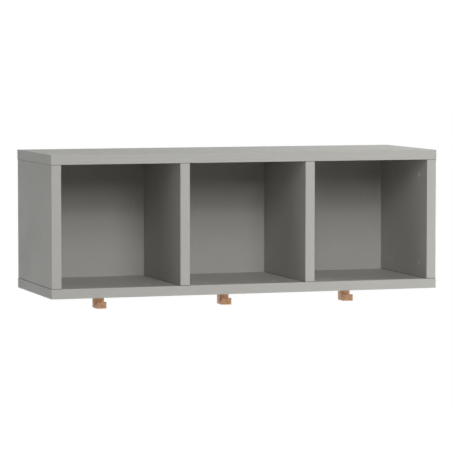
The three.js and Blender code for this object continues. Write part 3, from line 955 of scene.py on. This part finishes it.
def cam_face_rings():
    """The rings of a cam lock from its bottom up, with its face's raised rim and hub."""
    top = -CAM_SETBACK
    chamfer = CAM_GROOVE
    bottom = -CAM_TO_BOLT - CAM_BELOW_BOLT
    inner_rim = CAM_RADIUS - chamfer - CAM_RIM
    profile = [
        (CAM_RADIUS - chamfer, bottom),
        (CAM_RADIUS, bottom + chamfer),
        (CAM_RADIUS, top - chamfer),
        (CAM_RADIUS - chamfer, top),
        (inner_rim, top),
        (inner_rim - chamfer / 2, top - CAM_GROOVE),
        (CAM_HUB_RADIUS + chamfer / 2, top - CAM_GROOVE),
        (CAM_HUB_RADIUS, top),
    ]
    return [circle(radius, height, FINE_SIDES) for radius, height in profile]


def cam_cutters():
    """The room in a cam for the bolt's head and neck, and the arrow notched in its rim."""
    room = bmesh.new()
    low = Vector((-CAM_ROOM_RADIUS, -CAM_ROOM_BEHIND, -CAM_TO_BOLT - CAM_ROOM_RADIUS))
    high = Vector((CAM_ROOM_RADIUS, 2 * CAM_RADIUS, -CAM_TO_BOLT + CAM_ROOM_RADIUS))
    ends = []
    for z in (low.z, high.z):
        corners = [(low.x, low.y), (high.x, low.y), (high.x, high.y), (low.x, high.y)]
        ends.append([Vector((x, y, z)) for x, y in corners])
    add_solid(room, ends)
    arrow = []
    for z in (-CAM_SETBACK - CAM_ARROW_DEPTH, CAM_SETBACK):
        base = CAM_HUB_RADIUS + CAM_ARROW_FROM_HUB
        tip = CAM_RADIUS - CAM_ARROW_FROM_RIM
        half = CAM_ARROW_WIDTH / 2
        arrow.append([Vector((-half, base, z)), Vector((half, base, z)), Vector((0, tip, z))])
    add_solid(room, arrow)
    return room


def cam_axes(name):
    """Where a cam sits: its face's middle, the way out of the face, and the way to its joint."""
    low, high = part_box(name)
    centre = (low + high) / 2
    is_right_end = name.startswith("right_end_panel")
    out = Vector((-1, 0, 0)) if is_right_end else Vector((1, 0, 0))
    joint = Vector((0, 0, 1)) if "_top_" in name else Vector((0, 0, -1))
    face_x = low.x - CAM_SETBACK if is_right_end else high.x + CAM_SETBACK
    return Vector((face_x, centre.y, centre.z)), out, joint


def cam_lock(name, material):
    """A round cam lock with a cross recess, raised rim and hub, and an arrow towards its bolt."""
    shape = bmesh.new()
    first, last = stack(shape, cam_face_rings())
    shape.faces.new(first)
    cross_recess(shape, last, CAM_CROSS_LENGTH, CAM_CROSS_WIDTH, CAM_CROSS_DEPTH, -CAM_SETBACK)
    centre, out, joint = cam_axes(name)
    across = joint.cross(out)
    carry(shape, across, joint, out, centre)
    cam = as_piece(name + "_zinc", shape, material, name)
    cutter = cam_cutters()
    carry(cutter, across, joint, out, centre)
    cut_out(cam, cutter)


def cam_bolt(name, material):
    """A cam bolt: a coarse thread, a collar, a shank and a waisted head."""
    low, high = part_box(name)
    points_up = "_bottom_" in name
    joint = low.z + BOLT_IN_BOARD if points_up else high.z - BOLT_IN_BOARD
    thread = BOLT_THREAD_RADIUS
    shank = BOLT_SHANK_RADIUS
    neck = BOLT_NECK_RADIUS
    edge = BOLT_COLLAR
    end = BOLT_LENGTH
    head = end - BOLT_HEAD_LENGTH
    waist = head - BOLT_NECK_LENGTH
    root = thread * BOLT_THREAD_ROOT
    rings = thread_rings(root, thread, BOLT_PITCH, -BOLT_IN_BOARD, -edge, BOLT_THREAD_TAPER)
    profile = [
        (thread, 0), (shank, edge), (shank, waist - 3 * edge), (neck, waist),
        (neck, head), (shank, head + edge), (shank, end - 3 * edge), (neck, end - edge),
        (BOLT_TIP_RADIUS, end),
    ]
    rings += [circle(radius, height, THREAD_SIDES) for radius, height in profile]
    shape = solid_of_rings(rings)
    middle = (low + high) / 2
    up = Vector((0, 0, 1 if points_up else -1))
    across = Vector((1, 0, 0))
    carry(shape, across, up.cross(across), up, Vector((middle.x, middle.y, joint)))
    as_piece(name + "_steel", shape, material, name)


def fluted_dowel(name, material):
    """A beech dowel with glue flutes and chamfered ends."""
    low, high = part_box(name)
    middle = (low + high) / 2
    radius = (high.x - low.x) / 2
    sides = DOWEL_FLUTES * 4
    heights = [low.z, low.z + DOWEL_CHAMFER, high.z - DOWEL_CHAMFER, high.z]
    limits = [radius - DOWEL_CHAMFER, radius, radius, radius - DOWEL_CHAMFER]
    rings = []
    for height, limit in zip(heights, limits):
        ring = []
        for i in range(sides):
            angle = math.tau * i / sides
            flute = DOWEL_FLUTE_DEPTH * (1 - math.cos(DOWEL_FLUTES * angle)) / 2
            reach = min(limit, radius - flute)
            ring.append(Vector((*around(middle, reach, angle), height)))
        rings.append(ring)
    as_piece(name + "_beech", solid_of_rings(rings), material, name)


def hook_screw(name, material):
    """A headless screw, threaded both ways, between a hook and the bottom board."""
    low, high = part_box(name)
    middle = (low + high) / 2
    radius = (high.x - low.x) / 2
    root = radius * HOOK_SCREW_ROOT
    joint = high.z - HOOK_SCREW_IN_BOARD
    bare = HOOK_SCREW_BARE
    rings = [circle(HOOK_SCREW_POINT, low.z, THREAD_SIDES)]
    for start, end in ((low.z + bare, joint - bare), (joint + bare, high.z - bare)):
        rings += thread_rings(root, radius, HOOK_SCREW_PITCH, start, end, HOOK_SCREW_TAPER)
    rings.append(circle(HOOK_SCREW_POINT, high.z, THREAD_SIDES))
    shape = solid_of_rings(rings)
    bmesh.ops.translate(shape, vec=(middle.x, middle.y, 0), verts=shape.verts)
    as_piece(name + "_steel", shape, material, name)


# Hangers


def slot_outline(radius, low, high, height):
    """An upright slot with half-round ends, seen from its open side."""
    points = []
    for centre, start in ((high, 0), (low, 180)):
        for x, y in arc(0, centre, radius, start, 180):
            points.append(Vector((x, y, height)))
    return points


def keyhole_outline(height):
    """A keyhole: a round entry with a narrower slot rising from it."""
    entry = -KEY_DROP
    meet = math.degrees(math.asin(KEY_SLOT_RADIUS / KEY_ENTRY_RADIUS))
    points = arc(0, entry, KEY_ENTRY_RADIUS, 90 + meet, 360 - 2 * meet)
    points += arc(0, entry + KEY_RISE, KEY_SLOT_RADIUS, 0, 180)
    return [Vector((x, y, height)) for x, y in points]


def face_the_wall(shape, name):
    """Turns a shape's top to the wall and puts it at the rear of a CAD node."""
    low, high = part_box(name)
    middle = (low + high) / 2
    carry(shape, Vector((-1, 0, 0)), Vector((0, 0, 1)), Vector((0, 1, 0)),
          Vector((middle.x, high.y, middle.z)))


def hanger_plate(name, material):
    """A steel plate with a keyhole and two countersunk holes, let into a panel's rear edge."""
    low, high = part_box(name)
    width = high.x - low.x
    height = high.z - low.z
    thickness = high.y - low.y
    straight = (height - width) / 2
    screw_at = height / 2 - PLATE_SCREW_DISTANCE
    outer = [slot_outline(width / 2, -straight, straight, z) for z in (-thickness, 0)]
    key = [keyhole_outline(z) for z in (-thickness, 0)]
    holes = []
    for side in (-1, 1):
        centre = (0, side * screw_at)
        holes.append([
            circle(PLATE_HOLE_RADIUS, -thickness, THREAD_SIDES, centre),
            circle(PLATE_SINK_RADIUS, 0, THREAD_SIDES, centre),
        ])
    shape = bmesh.new()
    walls = [stack(shape, rings) for rings in (outer, key, *holes)]
    fill_between(shape, [first for first, last in walls])
    fill_between(shape, [last for first, last in walls])
    face_the_wall(shape, name)
    plate = as_piece(name + "_steel", shape, material, name)
    round_edges(plate, PLATE_EDGE, PLATE_EDGE_STEPS, PLATE_ROUNDED_ANGLE)


def plate_screw(name, material):
    """A countersunk wood screw with a cross recess."""
    low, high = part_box(name)
    rim = (high.x - low.x) / 2 - PLATE_HEAD_EDGE
    point = low.y - high.y
    shank = PLATE_SCREW_RADIUS
    root = shank * PLATE_SCREW_ROOT
    neck = shank * PLATE_SCREW_NECK
    taper = PLATE_SCREW_TAPER
    rings = [circle(PLATE_SCREW_POINT, point, THREAD_SIDES)]
    rings += thread_rings(root, shank, PLATE_SCREW_PITCH, point + taper, -PLATE_SCREW_BARE, taper)
    profile = [(neck, -PLATE_SCREW_BARE), (neck, -PLATE_HEAD_DEPTH), (rim, -PLATE_HEAD_EDGE),
               (rim, 0)]
    rings += [circle(radius, height, THREAD_SIDES) for radius, height in profile]
    shape = bmesh.new()
    first, last = stack(shape, rings)
    shape.faces.new(first)
    cross_recess(shape, last, PLATE_CROSS_LENGTH, PLATE_CROSS_WIDTH, PLATE_CROSS_DEPTH, 0)
    face_the_wall(shape, name)
    as_piece(name + "_zinc_plate", shape, material, name)


# Floor caps


def floor_cap(name, material):
    """A push-in cap: a ribbed stem in the board and a low domed head on the floor."""
    low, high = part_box(name)
    middle = (low + high) / 2
    radius = (high.x - low.x) / 2
    stem = CAP_STEM_RADIUS
    pitch = CAP_RIB_PITCH
    step = CAP_RIB_STEP
    groove = stem - CAP_RIB_DEPTH
    profile = [(stem - pitch / 2, low.z), (stem, low.z + pitch / 2)]
    for rib in range(1, CAP_RIBS + 1):
        start = low.z + rib * pitch
        end = start + pitch * CAP_GROOVE_PART_OF_PITCH
        profile += [(stem, start), (groove, start + step), (groove, end - step), (stem, end)]
    under = high.z - CAP_HEAD + CAP_GAP
    crown = high.z - under
    profile += [(stem, under), (radius - CAP_RIM, under), (radius, under + CAP_RIM)]
    for i in range(1, ARC_STEPS):
        angle = math.radians(90 * i / ARC_STEPS)
        reach = radius * math.cos(angle) ** CAP_DOME_SPREAD_POWER
        rise = crown * math.sin(angle) ** CAP_DOME_RISE_POWER
        profile.append((reach, under + rise))
    rings = [circle(r, z, FINE_SIDES, (middle.x, middle.y)) for r, z in profile]
    as_piece(name + "_plastic", solid_of_rings(rings), material, name)


def dress_fittings():
    """All the small pieces, each in place of its CAD node."""
    zinc = metal("die-cast zinc", CAM_BRIGHT, CAM_DULL, smooth=0.58, rough=0.7, depth=0.03 * MM,
                 bareness=0.25)
    steel = metal("dull zinc plate", STEEL_BRIGHT, STEEL_DULL, smooth=0.46, rough=0.62,
                  depth=0.01 * MM)
    wood = beech()
    plastic = cap_plastic()
    for name in sorted(nodes):
        if name.endswith("_cam"):
            cam_lock(name, zinc)
        elif name.endswith("_bolt"):
            cam_bolt(name, steel)
        elif name.endswith("_dowel"):
            fluted_dowel(name, wood)
        elif name.startswith("hook") and name.endswith("_screw"):
            hook_screw(name, steel)
        elif name.startswith("hook"):
            # Each hook's oak is lightened by its own painted light
            oak_hook(name, oiled_oak(f"oiled oak with painted light of {name}", HOOK_PAINTED_LIGHT[name]))
        elif name.endswith("_plate"):
            hanger_plate(name, steel)
        elif name.endswith("_screw"):
            plate_screw(name, steel)
        elif name.startswith("floor_cap"):
            floor_cap(name, plastic)


# Studio

FLOOR_DROP = 1.6
FLOOR_REACH = 30.0
FLOOR_NEAR = 1.5
FLOOR_FAR = 4.5
FLOOR_GLOW = 0.6
FLOOR_COLOUR = (0.8, 0.8, 0.8, 1)
WHITE = (1, 1, 1, 1)


def seen_ray(tree):
    """1 for rays that show the background: from the camera, or by way of gloss or glass."""
    rays = add(tree, "ShaderNodeLightPath").outputs
    seen = reckon(tree, "MAXIMUM", rays["Is Camera Ray"], rays["Is Glossy Ray"])
    return reckon(tree, "MAXIMUM", seen, rays["Is Transmission Ray"])


def pale_floor():
    """A pale floor that keeps the shelf's shadow, goes over into the white surround further out
    and is open when looked at from below."""
    shape = bmesh.new()
    corners = [(-1, -1), (1, -1), (1, 1), (-1, 1)]
    points = [(x * FLOOR_REACH, y * FLOOR_REACH, 0) for x, y in corners]
    shape.faces.new([shape.verts.new(point) for point in points])
    floor = object_of("floor", shape)
    floor.location.z = -FLOOR_DROP
    material = bpy.data.materials.new("pale floor")
    tree = empty_tree(material)
    matt = add(tree, "ShaderNodeBsdfDiffuse", {"Color": FLOOR_COLOUR}).outputs[0]
    spot = add(tree, "ShaderNodeTexCoord").outputs["Object"]
    distance = add(tree, "ShaderNodeVectorMath", (spot,), operation="LENGTH").outputs["Value"]
    glow = remap(tree, distance, (FLOOR_NEAR, FLOOR_FAR), (FLOOR_GLOW, 1.0))
    glow = reckon(tree, "MULTIPLY", seen_ray(tree), glow)
    light = add(tree, "ShaderNodeEmission", {"Strength": glow}).outputs[0]
    lit = add(tree, "ShaderNodeAddShader", (matt, light)).outputs[0]
    behind = add(tree, "ShaderNodeNewGeometry").outputs["Backfacing"]
    clear = add(tree, "ShaderNodeBsdfTransparent").outputs[0]
    shown = add(tree, "ShaderNodeMixShader", (behind, lit, clear)).outputs[0]
    add(tree, "ShaderNodeOutputMaterial", (shown,))
    floor.data.materials.append(material)


def white_surround():
    """The world: white where it is seen, and dark for the light that falls on the shelf."""
    world = bpy.data.worlds.new("studio")
    bpy.context.scene.world = world
    tree = empty_tree(world)
    inputs = {"Color": WHITE, "Strength": seen_ray(tree)}
    white = add(tree, "ShaderNodeBackground", inputs).outputs[0]
    add(tree, "ShaderNodeOutputWorld", (white,))


SHELF_MIDDLE = Vector((0.0, -0.17, -0.18))

# Soft boxes: degrees to the right of the front, degrees up, distance, width, height and power
LAMPS = [
    ("low key box", 0, 20, 3.2, 1.2, 0.8, 25.7),
    ("high key box", -10, 30, 3.2, 1.0, 0.8, 23.1),
    ("low right box", 45, -25, 3.2, 1.2, 1.2, 31.0),
    ("right box", 75, 5, 3.2, 1.2, 1.2, 52.8),
    ("high right box", 100, 50, 2.0, 1.2, 1.2, 17.8),
    ("left box", -80, 5, 2.0, 1.2, 1.8, 6.8),
    ("box below", 0, -75, 1.2, 1.2, 1.0, 2.1),
    ("rear box", 180, -12, 2.8, 1.6, 1.6, 35.0),
]


def studio_lamps():
    """The soft boxes, each turned to the middle of the shelf."""
    for name, turn, rise, distance, width, height, power in LAMPS:
        data = bpy.data.lights.new(name, "AREA")
        data.shape = "RECTANGLE"
        data.size = width
        data.size_y = height
        data.energy = power
        turn, rise = math.radians(turn), math.radians(rise)
        towards = Vector((math.sin(turn) * math.cos(rise), -math.cos(turn) * math.cos(rise),
                          math.sin(rise)))
        box = new_object(name, data)
        box.visible_camera = False
        box.location = SHELF_MIDDLE + towards * distance
        box.rotation_euler = (-towards).to_track_quat("-Z", "Y").to_euler()


CAMERA_PLACE = (-2.2248, -6.9636, 0.3076)
CAMERA_YAW = 18.1328
CAMERA_PITCH = 3.9698
CAMERA_FOCUS_PIXELS = 2725.9
CAMERA_SIGHT = 200.0
PICTURE_PIXELS = 452


def camera():
    """The camera where the photograph was taken from."""
    data = bpy.data.cameras.new("camera")
    data.lens = CAMERA_FOCUS_PIXELS / PICTURE_PIXELS * data.sensor_width
    data.clip_end = CAMERA_SIGHT
    eye = new_object("camera", data)
    eye.location = CAMERA_PLACE
    eye.rotation_euler = (math.radians(90 - CAMERA_PITCH), 0, math.radians(-CAMERA_YAW))
    bpy.context.scene.camera = eye


dress_boards()
dress_back_panel()
dress_fittings()
pale_floor()
white_surround()
studio_lamps()
camera()
bpy.context.scene.view_settings.view_transform = "Standard"
